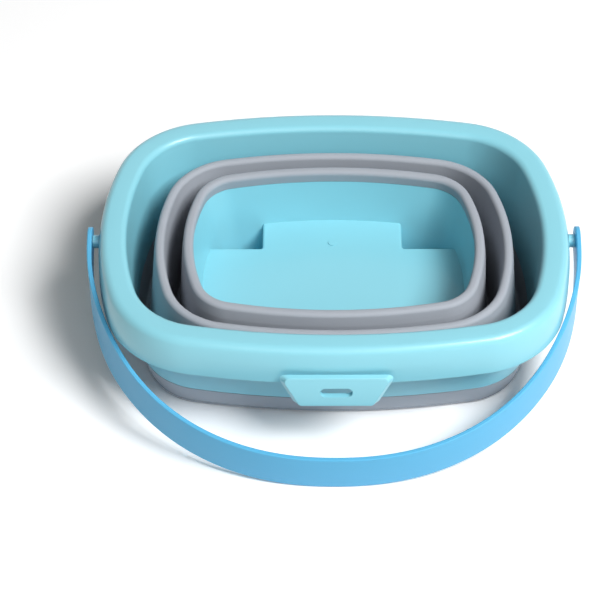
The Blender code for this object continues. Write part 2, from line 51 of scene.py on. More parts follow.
# Rigid rim section, with a slight bend in its skirt
RIM_HEIGHT = 0.082
RIM_SKIRT_DEPTH = 0.0270
RIM_SKIRT_FLARE = 0.0024
SKIRT_BEND_REACH = 0.0018
SKIRT_BEND_DROP = 0.0110
SKIRT_BEND_RADIUS = 0.0600
RIM_BAND_WIDTH = 0.0165
RIM_BAND_FALL = 0.0006
RIM_SHOULDER_RADIUS = 0.0055
RIM_LIP_RADIUS = 0.0044
RIM_WALL_DRAFT = 0.0047
RIM_WALL_BOTTOM = 0.019
RIM_EDGE_RADIUS = 0.0007
RIM_CEILING_RADIUS = 0.0020
RIGID_WALL = 0.0024

# Soft hem under the rim and the folds that turn just above the floor
HEM_DRAFT = 0.0034
HEM_BOTTOM = 0.0046
SKIN = 0.0020
FOLD_GAP = 0.0036
FOLD_BOTTOM = 0.0014

# Middle band and its crest
BAND_STEP_SIDE = 0.0334
BAND_STEP_FRONT = 0.0250
BAND_HEIGHT = 0.0690
CREST_DEPTH = 0.0080
CREST_RADIUS = 0.0028
CREST_LEAN = 0.0012
BAND_CREST_WIDTH = 0.0070
BAND_DRAFT_SIDE = 0.0040
BAND_DRAFT_FRONT = 0.0030
BAND_BOTTOM = 0.0050
INNER_FOLD_GAP = 0.0032

# Rigid tray, its soft collar and the raised plus-shaped floor
TRAY_STEP_SIDE = 0.0181
TRAY_STEP_FRONT = 0.0158
TRAY_CORNER_RADIUS = 0.0310
TRAY_HEIGHT = 0.0700
COLLAR_WIDTH = 0.0067
COLLAR_DEPTH = 0.0090
COLLAR_OVERHANG = 0.0014
TRAY_DRAFT_SIDE = 0.0098
TRAY_DRAFT_FRONT = 0.0073
TRAY_FLANGE = 0.0020
FOOT_RADIUS = 0.0040
FLOOR_HEIGHT = 0.0295
POCKET_WIDTH = 0.0350
POCKET_DEPTH = 0.0247
FLOOR_EDGE_RADIUS = 0.0016
FLOOR_CORNER_RADIUS = 0.0022
GATE_RADIUS = 0.0028
GATE_HEIGHT = 0.0006
GATE_SETBACK = 0.0050
RIB_THICKNESS = 0.0024
PAD_RADIUS = 0.0070

# Front tab with its slot
TAB_TOP_WIDTH = 0.0673
TAB_BOTTOM_WIDTH = 0.0456
TAB_SIDE_DRAFT = 0.0030
TAB_THICKNESS = 0.0034
TAB_RISE = 0.0100
TAB_DROP = 0.0105
TAB_STANDOFF = 0.0012
TAB_LEAN = 0.0040
TAB_CORNER_RADIUS = 0.0030
TAB_EDGE_RADIUS = 0.0006
TAB_ROOT_SINK = 0.0006
SLOT_WIDTH = 0.0200
SLOT_HEIGHT = 0.0064
SLOT_DROP = 0.0074

# Strap handle and the two pivot pins
PIVOT_DROP = 0.0150
STRAP_STANDOFF = 0.0060
STRAP_THICKNESS = 0.0030
STRAP_REACH = 0.0023
STRAP_WIDTH = 0.0285
STRAP_END_RADIUS = 0.0095
STRAP_EDGE = 0.0008
STRAP_FLOOR_CLEARANCE = 0.0005
PIN_RADIUS = 0.0035
PIN_COLLAR_RADIUS = 0.0044
PIN_HEAD_RADIUS = 0.0050
PIN_HEAD_THICKNESS = 0.0012
PIN_EDGE_RADIUS = 0.0003
PIN_BARB_RADIUS = 0.0047
PIN_BARB_LENGTH = 0.0032

# Angles
STRAP_LEAN = radians(12.5)
STRAP_PROBE = radians(0.5)
SHARP_ANGLE = radians(35)

# Shares of the strap's sweep and of the pin's tip
STRAP_NECK_SHARE = 0.24
STRAP_LEAN_SHARE = 0.55
STRAP_SQUARE_SHARE = 2 / 2.19
PIN_TIP_SHARE = 0.62

# Counts
LONG_STEPS = 22
CORNER_STEPS = 26
SHORT_STEPS = 14
ROUND_STEPS = 8
LIMB_STEPS = 28
TURN_STEPS = 48
STRAP_STEPS = 180
STRAP_END_STEPS = 14
TILT_ROUNDS = 20

# Camera, fitted to the photograph of 600 x 600 pixels
CAMERA_ELEVATION = radians(45)
CAMERA_AZIMUTH = radians(-0.138)
CAMERA_DISTANCE = 1.337
CAMERA_RIGHT = -0.0219
CAMERA_UP = 0.00925
FOCAL_PIXELS = 1990
IMAGE_PIXELS = 600
SENSOR_WIDTH = 36

# Studio: two soft lamps, found by fitting the photograph's shadows, and even light all round
FLOOR_SIZE = 12.0
LAMP_DISTANCE = 3.0
KEY_ELEVATION = radians(53)
KEY_AZIMUTH = radians(-37)
KEY_SIZE = 1.3
KEY_POWER = 99
FILL_ELEVATION = radians(40)
FILL_AZIMUTH = radians(-90)
FILL_SIZE = 1.6
FILL_POWER = 13
WORLD_STRENGTH = 0.12

# Colours as linear RGB
TURQUOISE = (0.270, 0.645, 0.745)
TURQUOISE_DEEP = (0.245, 0.622, 0.730)
GREY = (0.400, 0.430, 0.475)
GREY_DEEP = (0.372, 0.402, 0.451)
BLUE = (0.112, 0.460, 0.730)
BLUE_DEEP = (0.098, 0.430, 0.700)
FLOOR_COLOUR = (0.92, 0.92, 0.92)
FLOOR_SEEN = (1.16, 1.16, 1.16)
FLOOR_FADE_START = 0.5
FLOOR_FADE_END = 1.6

# Finishes: roughness from smooth to rough, the moulded grain per metre and its depth, shine and gloss coat
TURQUOISE_SMOOTH = 0.29
TURQUOISE_ROUGH = 0.38
TURQUOISE_GRAIN = 900
TURQUOISE_GRAIN_DEPTH = 0.00004
TURQUOISE_SHINE = 0.50
TURQUOISE_COAT = 0.15
GREY_SMOOTH = 0.46
GREY_ROUGH = 0.62
GREY_GRAIN = 1500
GREY_GRAIN_DEPTH = 0.00010
GREY_SHINE = 0.15
GREY_COAT = 0
BLUE_SMOOTH = 0.30
BLUE_ROUGH = 0.42
BLUE_GRAIN = 1100
BLUE_GRAIN_DEPTH = 0.00008
BLUE_SHINE = 0.24
BLUE_COAT = 0.03
COAT_ROUGHNESS = 0.08
DRIFT_SCALE = 14
DRIFT_DETAIL = 3
GLOSS_SCALE = 60
GLOSS_DETAIL = 4
GRAIN_DETAIL = 2
GRAIN_STRENGTH = 0.25


class Outline:
    """A rectangle with bowed sides and round corners, centred on the bucket's axis."""

    def __init__(self, half_width, half_depth, corner, long_bow, short_bow):
        self.half_width = half_width
        self.half_depth = half_depth
        self.corner = corner
        self.long_bow = long_bow
        self.short_bow = short_bow

    def inset(self, side, front=None):
        """The outline a wall's thickness further in, or drawn in unlike amounts in width and depth."""
        if front is None or abs(side - front) < GAP:
            return Outline(self.half_width - side, self.half_depth - side, self.corner - side,
                           self.long_bow - side, self.short_bow - side)
        scale = (self.half_width - side) / self.half_width
        return Outline(self.half_width - side, self.half_depth - front, self.corner * scale,
                       self.long_bow * scale, self.short_bow * scale)

    def with_corner(self, radius):
        """The same sides with another corner radius."""
        return Outline(self.half_width, self.half_depth, radius, self.long_bow, self.short_bow)

    def corner_centre(self):
        """Where the corner's circle touches both bowed sides from inside."""
        long_y = self.half_depth - self.long_bow
        short_x = self.half_width - self.short_bow
        long_reach = self.long_bow - self.corner
        short_reach = self.short_bow - self.corner
        span = hypot(short_x, long_y)
        along = (long_reach ** 2 - short_reach ** 2 + span ** 2) / (2 * span)
        across = sqrt(long_reach ** 2 - along ** 2)
        unit_x, unit_y = short_x / span, -long_y / span
        first = (along * unit_x - across * unit_y, long_y + along * unit_y + across * unit_x)
        second = (along * unit_x + across * unit_y, long_y + along * unit_y - across * unit_x)
        return max(first, second, key=lambda centre: centre[0] + centre[1])

    def points(self):
        """One turn of (x, y) points, counterclockwise from the middle of the right side."""
        centre_x, centre_y = self.corner_centre()
        long_y = self.half_depth - self.long_bow
        short_x = self.half_width - self.short_bow
        side_end = atan2(centre_y, centre_x - short_x)
        long_start = atan2(centre_y - long_y, centre_x)
        quarter = arc(short_x, 0, self.short_bow, 0, side_end, SHORT_STEPS)
        quarter += arc(centre_x, centre_y, self.corner, side_end, long_start, CORNER_STEPS)[1:]
        quarter += arc(0, long_y, self.long_bow, long_start, pi / 2, LONG_STEPS)[1:]
        half = quarter + [(-x, y) for x, y in reversed(quarter[:-1])]
        return half + [(x, -y) for x, y in reversed(half[1:-1])]


def arc(centre_x, centre_y, radius, start, end, steps):
    """Points on an arc, both ends included."""
    turns = [start + (end - start) * step / steps for step in range(steps + 1)]
    return [(centre_x + radius * cos(turn), centre_y + radius * sin(turn)) for turn in turns]


def blend(first, second, share):
    """The outline part of the way from one outline to another."""
    pairs = [(first.half_width, second.half_width), (first.half_depth, second.half_depth),
             (first.corner, second.corner), (first.long_bow, second.long_bow),
             (first.short_bow, second.short_bow)]
    return Outline(*[a + (b - a) * share for a, b in pairs])


def rounded(corners, steps=ROUND_STEPS):
    """A closed section from (x, y, radius) corners, each turned by an arc of its radius."""
    section = []
    for index, (x, y, radius) in enumerate(corners):
        here = Vector((x, y))
        if not radius:
            section.append((x, y))
            continue
        before = (Vector(corners[index - 1][:2]) - here).normalized()
        after = (Vector(corners[(index + 1) % len(corners)][:2]) - here).normalized()
        half = before.angle(after) / 2
        centre = here + (before + after).normalized() * radius / sin(half)
        start = here + before * radius / tan(half) - centre
        end = here + after * radius / tan(half) - centre
        begin = atan2(start.y, start.x)
        turn = (atan2(end.y, end.x) - begin + pi) % (2 * pi) - pi
        section += arc(centre.x, centre.y, radius, begin, begin + turn, steps)
    return section


RIM = Outline(RIM_HALF_WIDTH, RIM_HALF_DEPTH, RIM_CORNER_RADIUS, RIM_LONG_BOW_RADIUS,
              RIM_SHORT_BOW_RADIUS)
HEM_TOP_INSET = RIM_BAND_WIDTH + RIM_WALL_DRAFT - RIGID_WALL
HEM_BOTTOM_INSET = HEM_TOP_INSET + HEM_DRAFT
FOLD_INSET = HEM_BOTTOM_INSET + SKIN + FOLD_GAP
BAND = RIM.inset(BAND_STEP_SIDE, BAND_STEP_FRONT)
BAND_INNER_TOP = BAND.inset(BAND_CREST_WIDTH)
BAND_INNER_BOTTOM = BAND_INNER_TOP.inset(BAND_DRAFT_SIDE, BAND_DRAFT_FRONT)
INNER_FOLD = BAND_INNER_BOTTOM.inset(INNER_FOLD_GAP)
TRAY = BAND.inset(TRAY_STEP_SIDE, TRAY_STEP_FRONT).with_corner(TRAY_CORNER_RADIUS)
TRAY_INNER_TOP = TRAY.inset(COLLAR_WIDTH)
TRAY_INNER_BOTTOM = TRAY_INNER_TOP.inset(TRAY_DRAFT_SIDE, TRAY_DRAFT_FRONT)
TRAY_TOP = TRAY_HEIGHT - COLLAR_DEPTH
PLUS_HALF_WIDTH = TRAY_INNER_BOTTOM.half_width - POCKET_WIDTH
PLUS_HALF_DEPTH = TRAY_INNER_BOTTOM.half_depth - POCKET_DEPTH
CREST_UNDERSIDE = BAND_HEIGHT - CREST_DEPTH
SKIRT_BOTTOM = RIM_HEIGHT - RIM_SKIRT_DEPTH
PIVOT_HEIGHT = RIM_HEIGHT - PIVOT_DROP
STRAP_HALF_SPAN = RIM_HALF_WIDTH + STRAP_STANDOFF + STRAP_THICKNESS / 2
STRAP_LENGTHWAYS = STRAP_HALF_SPAN + STRAP_REACH


def add_object(name, mesh, finish=None):
    """Link a mesh as a smooth-shaded object."""
    mesh.shade_smooth()
    mesh.set_sharp_from_angle(angle=SHARP_ANGLE)
    item = bpy.data.objects.new(name, mesh)
    bpy.context.scene.collection.objects.link(item)
    if finish:
        mesh.materials.append(finish)
    return item


def mesh_from(name, shape):
    """Turn a bmesh into a mesh with its faces pointing out."""
    bmesh.ops.recalc_face_normals(shape, faces=shape.faces)
    mesh = bpy.data.meshes.new(name)
    shape.to_mesh(mesh)
    shape.free()
    return mesh


def loft(name, rings, is_loop):
    """Join rings of equal counts; a loop closes on its first ring, and a stack gets end caps."""
    shape = bmesh.new()
    rows = [[shape.verts.new(point) for point in ring] for ring in rings]
    pairs = list(zip(rows, rows[1:]))
    if is_loop:
        pairs.append((rows[-1], rows[0]))
    for lower, upper in pairs:
        for index in range(len(lower)):
            after = (index + 1) % len(lower)
            shape.faces.new((lower[index], lower[after], upper[after], upper[index]))
    if not is_loop:
        shape.faces.new(rows[0])
        shape.faces.new(rows[-1])
    return mesh_from(name, shape)


def wall(name, levels, is_loop=True):
    """Loft a wall from (outline, height) levels."""
    rings = [[(x, y, height) for x, y in outline.points()] for outline, height in levels]
    return loft(name, rings, is_loop)


def prism(name, outline, bottom, top):
    """A flat outline raised from bottom to top."""
    return loft(name, [[(x, y, height) for x, y in outline] for height in (bottom, top)], False)


def cylinder(name, radius, depth):
    """A closed round bar along Z about the origin."""
    circle = arc(0, 0, radius, 0, 2 * pi, TURN_STEPS)[:-1]
    return prism(name, circle, -depth / 2, depth / 2)


def boolean(item, cutter, operation):
    """Apply an exact Boolean to an object and drop the cutter."""
    step = item.modifiers.new(operation.lower(), "BOOLEAN")
    step.operation = operation
    step.solver = "EXACT"
    step.object = cutter
    graph = bpy.context.evaluated_depsgraph_get()
    result = bpy.data.meshes.new_from_object(item.evaluated_get(graph))
    item.modifiers.remove(step)
    item.data = result
    bpy.data.objects.remove(cutter)
    result.shade_smooth()
    result.set_sharp_from_angle(angle=SHARP_ANGLE)


def add_cutter(name, mesh, location=(0, 0, 0), rotation=(0, 0, 0)):
    """An object that a Boolean adds to a piece or takes away from it."""
    cutter = add_object(name, mesh)
    cutter.location = location
    cutter.rotation_euler = rotation
    bpy.context.view_layer.update()
    return cutter


def rim_shell(finish):
    """The rigid channel: skirt, top band and inner wall, with every edge rounded."""
    shoulder_inset = RIM_SKIRT_FLARE * RIM_SHOULDER_RADIUS / (RIM_SKIRT_DEPTH - RIM_SHOULDER_RADIUS)
    ceiling = RIM_HEIGHT - RIGID_WALL - RIM_BAND_FALL
    section = rounded([
        (RIGID_WALL - RIM_SKIRT_FLARE, SKIRT_BOTTOM, RIM_EDGE_RADIUS),
        (-RIM_SKIRT_FLARE, SKIRT_BOTTOM, RIM_EDGE_RADIUS),
        (-SKIRT_BEND_REACH, RIM_HEIGHT - SKIRT_BEND_DROP, SKIRT_BEND_RADIUS),
        (shoulder_inset, RIM_HEIGHT, RIM_SHOULDER_RADIUS),
        (RIM_BAND_WIDTH, RIM_HEIGHT - RIM_BAND_FALL, RIM_LIP_RADIUS),
        (RIM_BAND_WIDTH + RIM_WALL_DRAFT, RIM_WALL_BOTTOM, GAP),
        (HEM_TOP_INSET, RIM_WALL_BOTTOM, GAP),
        (RIM_BAND_WIDTH - RIGID_WALL, ceiling, RIM_CEILING_RADIUS),
        (RIGID_WALL + shoulder_inset, ceiling, RIM_CEILING_RADIUS)])
    rim = add_object("rim_shell", wall("rim_shell", [(RIM.inset(inset), height)
                                                     for inset, height in section]), finish)
    boolean(rim, slot_cutter(), "DIFFERENCE")
    return rim


def tab_front(height):
    """How far forward the tab's front face stands at a height."""
    bottom = SKIRT_BOTTOM - TAB_DROP
    share = (height - bottom) / (TAB_RISE + TAB_DROP)
    top_y = -RIM_HALF_DEPTH - RIM_SKIRT_FLARE - TAB_STANDOFF - TAB_THICKNESS
    return top_y - TAB_LEAN * (1 - share)


def tab_ring(depth, widen):
    """The tab's outline at a depth behind its front face, each side widened by an amount."""
    top = SKIRT_BOTTOM + TAB_RISE
    bottom = SKIRT_BOTTOM - TAB_DROP
    edge = min(widen, 0)
    top_half = TAB_TOP_WIDTH / 2 + widen
    bottom_half = TAB_BOTTOM_WIDTH / 2 + widen
    corners = [(top_half, top + edge, TAB_CORNER_RADIUS), (-top_half, top + edge, TAB_CORNER_RADIUS),
               (-bottom_half, bottom - edge, TAB_CORNER_RADIUS),
               (bottom_half, bottom - edge, TAB_CORNER_RADIUS)]
    return [(x, tab_front(z) + depth, z) for x, z in rounded(corners)]


def front_tab(finish):
    """The leaning slotted plate with eased edges and the foot that joins it to the skirt."""
    ease_turns = [pi / 2 * step / ROUND_STEPS for step in range(ROUND_STEPS + 1)]
    rings = [tab_ring(TAB_EDGE_RADIUS * (1 - sin(turn)), -TAB_EDGE_RADIUS * (1 - cos(turn)))
             for turn in reversed(ease_turns)]
    rings.append(tab_ring(TAB_THICKNESS, TAB_SIDE_DRAFT))
    tab = add_object("front_tab", loft("front_tab", rings, False), finish)
    boolean(tab, tab_root(), "UNION")
    boolean(tab, slot_cutter(), "DIFFERENCE")
    return tab


def tab_root():
    """The block between the tab's upper part and the skirt."""
    top = SKIRT_BOTTOM + TAB_RISE
    root_half = TAB_TOP_WIDTH / 2 - TAB_CORNER_RADIUS
    reach = tab_front(top) + TAB_THICKNESS / 2
    depth = -RIM_HALF_DEPTH + root_half ** 2 / (2 * RIM_LONG_BOW_RADIUS) + TAB_ROOT_SINK
    outline = [(-root_half, reach), (root_half, reach), (root_half, depth), (-root_half, depth)]
    return add_cutter("tab_root", prism("tab_root", outline, SKIRT_BOTTOM + RIGID_WALL,
                                        top - TAB_CORNER_RADIUS))


def slot_cutter():
    """The slot's bar with round ends, run through the tab and the skirt's edge behind it."""
    centre = SKIRT_BOTTOM + TAB_RISE - SLOT_DROP - SLOT_HEIGHT / 2
    radius = SLOT_HEIGHT / 2
    half = SLOT_WIDTH / 2 - radius
    outline = arc(half, 0, radius, -pi / 2, pi / 2, 2 * ROUND_STEPS)
    outline += arc(-half, 0, radius, pi / 2, 3 * pi / 2, 2 * ROUND_STEPS)
    return add_cutter("slot_cutter", prism("slot_cutter", outline, -OVERRUN, OVERRUN),
                      (0, -RIM_HALF_DEPTH - TAB_STANDOFF, centre), (pi / 2, 0, 0))


def rim_hem(finish):
    """The soft hem that carries the rim's inner wall down to the fold."""
    top = RIM_WALL_BOTTOM - GAP
    levels = [(RIM.inset(HEM_BOTTOM_INSET), HEM_BOTTOM), (RIM.inset(HEM_TOP_INSET), top),
              (RIM.inset(HEM_TOP_INSET + SKIN), top), (RIM.inset(HEM_BOTTOM_INSET + SKIN), HEM_BOTTOM)]
    return add_object("soft_hem", wall("soft_hem", levels), finish)


def half_turn(outer, inner, top, depth, turns):
    """Levels of a half ellipse that hangs between two outlines, down from top by depth."""
    return [(blend(outer, inner, (1 - cos(turn)) / 2), top - depth * sin(turn)) for turn in turns]


def limb(first, second):
    """Evenly spaced levels from one (outline, height) to another."""
    (outline, height), (end_outline, end_height) = first, second
    shares = [step / LIMB_STEPS for step in range(LIMB_STEPS + 1)]
    return [(blend(outline, end_outline, share), height + (end_height - height) * share)
            for share in shares]


def fold(name, outer, outer_top, inner_bottom, inner_top, top, finish):
    """A soft U-turn just above the floor and the wall that rises from it to a crest."""
    turns = [pi * step / (2 * ROUND_STEPS) for step in range(2 * ROUND_STEPS + 1)]
    under = inner_bottom.inset(SKIN)
    levels = half_turn(outer, under, outer_top, outer_top - FOLD_BOTTOM, turns)
    levels += limb((under, outer_top), (inner_top.inset(SKIN), top))[1:]
    levels += limb((inner_top, top), (inner_bottom, outer_top))
    depth = outer_top - FOLD_BOTTOM - SKIN
    levels += half_turn(outer.inset(SKIN), inner_bottom, outer_top, depth, turns[:-1][::-1])
    return add_object(name, wall(name, levels), finish)


def crest(outline, top, depth, width, overhang):
    """Levels of a crest's rounded section, from its outer foot over its top to its inner foot."""
    section = rounded([(0, top - depth, 0), (CREST_LEAN, top, CREST_RADIUS),
                       (width + overhang, top, CREST_RADIUS), (width, top - depth, 0)])
    return [(outline.inset(inset), height) for inset, height in section]


def middle_band(finish):
    """The middle of the wall: a thick crest with a skirt that hangs from its inner side."""
    levels = crest(BAND, BAND_HEIGHT, CREST_DEPTH, BAND_CREST_WIDTH, 0)[:-1]
    levels += [(BAND_INNER_BOTTOM, BAND_BOTTOM), (BAND_INNER_BOTTOM.inset(-SKIN), BAND_BOTTOM),
               (BAND_INNER_TOP.inset(-SKIN), CREST_UNDERSIDE)]
    return add_object("soft_band", wall("soft_band", levels), finish)


def tray_collar(finish):
    """The soft collar over the tray's edge."""
    levels = crest(TRAY, TRAY_HEIGHT, COLLAR_DEPTH, COLLAR_WIDTH, COLLAR_OVERHANG)
    return add_object("soft_collar", wall("soft_collar", levels), finish)


def plus_outline(half_width, half_depth, reach, corner):
    """A plus with four arms, half_width and half_depth across, and rounded inner corners.

    Every arm runs out past the tray's walls by reach.
    """
    side = TRAY_INNER_TOP.half_width + reach
    front = TRAY_INNER_TOP.half_depth + reach
    quarter = [(side, half_depth, 0), (half_width, half_depth, corner), (half_width, front, 0)]
    right = [(x, -y, radius) for x, y, radius in reversed(quarter)] + quarter
    return rounded(right + [(-x, y, radius) for x, y, radius in reversed(right)])


def raised_floor():
    """The plus-shaped plateau with a rounded upper edge."""
    turns = [pi / 2 * step / ROUND_STEPS for step in range(ROUND_STEPS + 1)]
    levels = [(0, 0)] + [(FLOOR_EDGE_RADIUS * (1 - cos(turn)),
                          FLOOR_HEIGHT - FLOOR_EDGE_RADIUS * (1 - sin(turn))) for turn in turns]
    rings = [[(x, y, height) for x, y in plus_outline(
        PLUS_HALF_WIDTH - inset, PLUS_HALF_DEPTH - inset, OVERRUN, FLOOR_CORNER_RADIUS)]
        for inset, height in levels]
    return add_cutter("raised_floor", loft("raised_floor", rings, False))


def tray_outside():
    """Levels of the tray's outer face, from its feet to under the flange."""
    outer_bottom = TRAY_INNER_BOTTOM.inset(-RIGID_WALL)
    foot = arc(FOOT_RADIUS, FOOT_RADIUS, FOOT_RADIUS, -pi / 2, -pi, ROUND_STEPS)
    levels = [(outer_bottom.inset(inset), height) for inset, height in foot]
    return levels + [(TRAY_INNER_TOP.inset(-RIGID_WALL), TRAY_TOP - TRAY_FLANGE)]


def tray_cup(finish):
    """The tray's drafted wall, flange and flat bottom, before its floor is raised."""
    top = TRAY_TOP - GAP
    foot = arc(FOOT_RADIUS, RIGID_WALL + FOOT_RADIUS, FOOT_RADIUS, pi, 3 * pi / 2, ROUND_STEPS)
    inside = [(TRAY_INNER_TOP, top)]
    inside += [(TRAY_INNER_BOTTOM.inset(inset), height) for inset, height in foot]
    flange = [(TRAY.inset(SKIN + GAP), TRAY_TOP - TRAY_FLANGE), (TRAY.inset(SKIN + GAP), top)]
    return add_object("tray_shell", wall("tray_shell", tray_outside() + flange + inside, False), finish)


def floor_limit():
    """Levels half-way through the tray's wall and bottom, where the raised floor ends."""
    middle = TRAY_INNER_BOTTOM.inset(-RIGID_WALL / 2)
    return [(middle.inset(FOOT_RADIUS), RIGID_WALL / 2), (middle, RIGID_WALL / 2 + FOOT_RADIUS),
            (TRAY_INNER_TOP.inset(-RIGID_WALL / 2), TRAY_TOP - TRAY_FLANGE)]


def base_tray(finish):
    """The rigid tray: drafted wall, four corner feet and a raised floor that reaches every wall."""
    tray = tray_cup(finish)
    raised = raised_floor()
    boolean(raised, add_cutter("floor_limit", wall("floor_limit", floor_limit(), False)), "INTERSECT")
    boolean(tray, raised, "UNION")
    recess = plus_outline(PLUS_HALF_WIDTH - RIGID_WALL, PLUS_HALF_DEPTH - RIGID_WALL, 2 * OVERRUN,
                          FLOOR_CORNER_RADIUS)
    boolean(tray, add_cutter("floor_recess", prism("floor_recess", recess, -OVERRUN,
                                                   FLOOR_HEIGHT - RIGID_WALL)), "DIFFERENCE")
    for stiffener in underside_stiffeners():
        boolean(tray, stiffener, "UNION")
    gate_height = GATE_HEIGHT + RIGID_WALL
    gate_place = (0, PLUS_HALF_DEPTH + GATE_SETBACK, FLOOR_HEIGHT + GATE_HEIGHT - gate_height / 2)
    boolean(tray, add_cutter("gate_mark", cylinder("gate_mark", GATE_RADIUS, gate_height), gate_place),
            "UNION")
    return tray


def underside_stiffeners():
    """A rib across the recess, just clear of the floor, and a round pad flush with the feet."""
    half = PLUS_HALF_WIDTH
    top = FLOOR_HEIGHT - RIGID_WALL / 2
    outline = [(-half, -RIB_THICKNESS / 2), (half, -RIB_THICKNESS / 2),
               (half, RIB_THICKNESS / 2), (-half, RIB_THICKNESS / 2)]
    rib = add_cutter("floor_rib", prism("floor_rib", outline, RIGID_WALL / 2, top))
    pad = add_cutter("floor_pad", cylinder("floor_pad", PAD_RADIUS, top), (0, 0, top / 2))
    return rib, pad


def strap_tilt():
    """How far below level the strap hangs so that its front edge just clears the floor."""
    tilt = 0
    for _ in range(TILT_ROUNDS):
        edge = (STRAP_WIDTH * cos(STRAP_LEAN - tilt) + STRAP_THICKNESS * sin(abs(STRAP_LEAN - tilt))) / 2
        tilt = asin((PIVOT_HEIGHT - STRAP_FLOOR_CLEARANCE - edge) / STRAP_LENGTHWAYS)
    return tilt


def strap_section(position, tangent, outward, lean, half_width):
    """A flat band's section with round edges, leaning by turning about the strap's run."""
    turn = Matrix.Rotation(lean, 3, tangent)
    across = turn @ Vector((0, 0, 1))
    thick = turn @ outward
    half = STRAP_THICKNESS / 2
    edge = min(STRAP_EDGE, half_width / 2)
    corners = [(half, half_width, edge), (-half, half_width, edge), (-half, -half_width, edge),
               (half, -half_width, edge)]
    return [position + thick * out + across * up for out, up in rounded(corners)]


def ease(share):
    """A smooth step from 0 to 1."""
    share = min(share, 1)
    return share * share * (3 - 2 * share)


def strap_place(turn):
    """A point on the strap's centre line, a half ellipse with slightly squared shoulders."""
    side, front = cos(turn), sin(turn)
    squared_side = abs(side) ** STRAP_SQUARE_SHARE
    squared_front = abs(front) ** STRAP_SQUARE_SHARE
    return Vector((STRAP_HALF_SPAN * squared_side * (1 if side > 0 else -1),
                   -STRAP_LENGTHWAYS * squared_front, 0))


def strap_end(side, turns):
    """Sections of one round end, for the given turns about the pivot."""
    return [strap_section(Vector((side * STRAP_HALF_SPAN, STRAP_END_RADIUS * cos(turn), 0)),
                          Vector((0, -side, 0)), Vector((side, 0, 0)), 0, STRAP_END_RADIUS * sin(turn))
            for turn in turns]


def strap_rings():
    """Sections from one round end, along the half ellipse, to the other round end."""
    ends = [pi / 2 * step / STRAP_END_STEPS for step in range(1, STRAP_END_STEPS + 1)]
    rings = strap_end(1, ends)
    for step in range(1, STRAP_STEPS):
        turn = pi * step / STRAP_STEPS
        tangent = (strap_place(turn + STRAP_PROBE) - strap_place(turn - STRAP_PROBE)).normalized()
        widen = ease(sin(turn) / STRAP_NECK_SHARE)
        half = STRAP_END_RADIUS + (STRAP_WIDTH / 2 - STRAP_END_RADIUS) * widen
        lean = STRAP_LEAN * ease(sin(turn) / STRAP_LEAN_SHARE)
        outward = Vector((-tangent.y, tangent.x, 0))
        rings.append(strap_section(strap_place(turn), tangent, outward, lean, half))
    return rings + strap_end(-1, reversed(ends))


def handle_strap(finish):
    """The strap, made level about its pivot line, bored at both ends and hung at its rest tilt."""
    strap = add_object("strap_handle", loft("strap_handle", strap_rings(), False), finish)
    sink_depth = PIN_HEAD_THICKNESS + GAP
    sink_centre = STRAP_HALF_SPAN + STRAP_THICKNESS / 2 - sink_depth / 2 + OVERRUN / 2
    holes = [("strap_bore", PIN_RADIUS + GAP, 2 * OVERRUN, STRAP_HALF_SPAN),
             ("strap_sink", PIN_HEAD_RADIUS + GAP, sink_depth + OVERRUN, sink_centre)]
    for side in (-1, 1):
        for name, radius, depth, centre in holes:
            bar = cylinder(name, radius, depth)
            bar.transform(Matrix.Rotation(pi / TURN_STEPS, 4, "Z"))
            boolean(strap, add_cutter(name, bar, (side * centre, 0, 0), (0, pi / 2, 0)), "DIFFERENCE")
    strap.data.transform(Matrix.Translation((0, 0, PIVOT_HEIGHT)) @ Matrix.Rotation(strap_tilt(), 4, "X"))
    return strap


def skirt_flare_at(height):
    """How far the drafted skirt stands out past the rim's outline at a height."""
    shoulder = RIM_HEIGHT - RIM_SHOULDER_RADIUS
    return RIM_SKIRT_FLARE * (shoulder - height) / (shoulder - SKIRT_BOTTOM)


def pin_profile():
    """The pin's profile as (distance along the pin from the rim's outline, radius)."""
    head_face = STRAP_STANDOFF + STRAP_THICKNESS - PIN_HEAD_THICKNESS
    head_end = head_face + PIN_HEAD_THICKNESS
    collar_end = STRAP_STANDOFF - GAP
    collar_start = skirt_flare_at(PIVOT_HEIGHT - PIN_COLLAR_RADIUS) + GAP
    barb = skirt_flare_at(PIVOT_HEIGHT + PIN_BARB_RADIUS) - RIGID_WALL - GAP
    head_edge = arc(head_end - PIN_EDGE_RADIUS, PIN_HEAD_RADIUS - PIN_EDGE_RADIUS, PIN_EDGE_RADIUS,
                    0, pi / 2, ROUND_STEPS)
    return head_edge + [(head_face, PIN_HEAD_RADIUS), (head_face, PIN_RADIUS),
                        (collar_end, PIN_RADIUS), (collar_end, PIN_COLLAR_RADIUS),
                        (collar_start, PIN_COLLAR_RADIUS), (collar_start, PIN_RADIUS),
                        (barb, PIN_RADIUS), (barb, PIN_BARB_RADIUS),
                        (barb - PIN_BARB_LENGTH, PIN_BARB_RADIUS * PIN_TIP_SHARE)]


def pivot_pin(name, side, finish):
    """A snap-in pin, turned about the pivot line, through one strap end into the rim's skirt."""
    rings = []
    for along, radius in pin_profile():
        turns = [side * 2 * pi * step / TURN_STEPS for step in range(TURN_STEPS)]
        place = side * (RIM_HALF_WIDTH + along)
        rings.append([(place, radius * cos(turn), PIVOT_HEIGHT + radius * sin(turn)) for turn in turns])
    return add_object(name, loft(name, rings, False), finish)


def noise(nodes, links, place, scale, detail):
    """A noise texture in the object's own space."""
    texture = nodes.new("ShaderNodeTexNoise")
    texture.inputs["Scale"].default_value = scale
    texture.inputs["Detail"].default_value = detail
    links.new(place.outputs["Object"], texture.inputs["Vector"])
    return texture


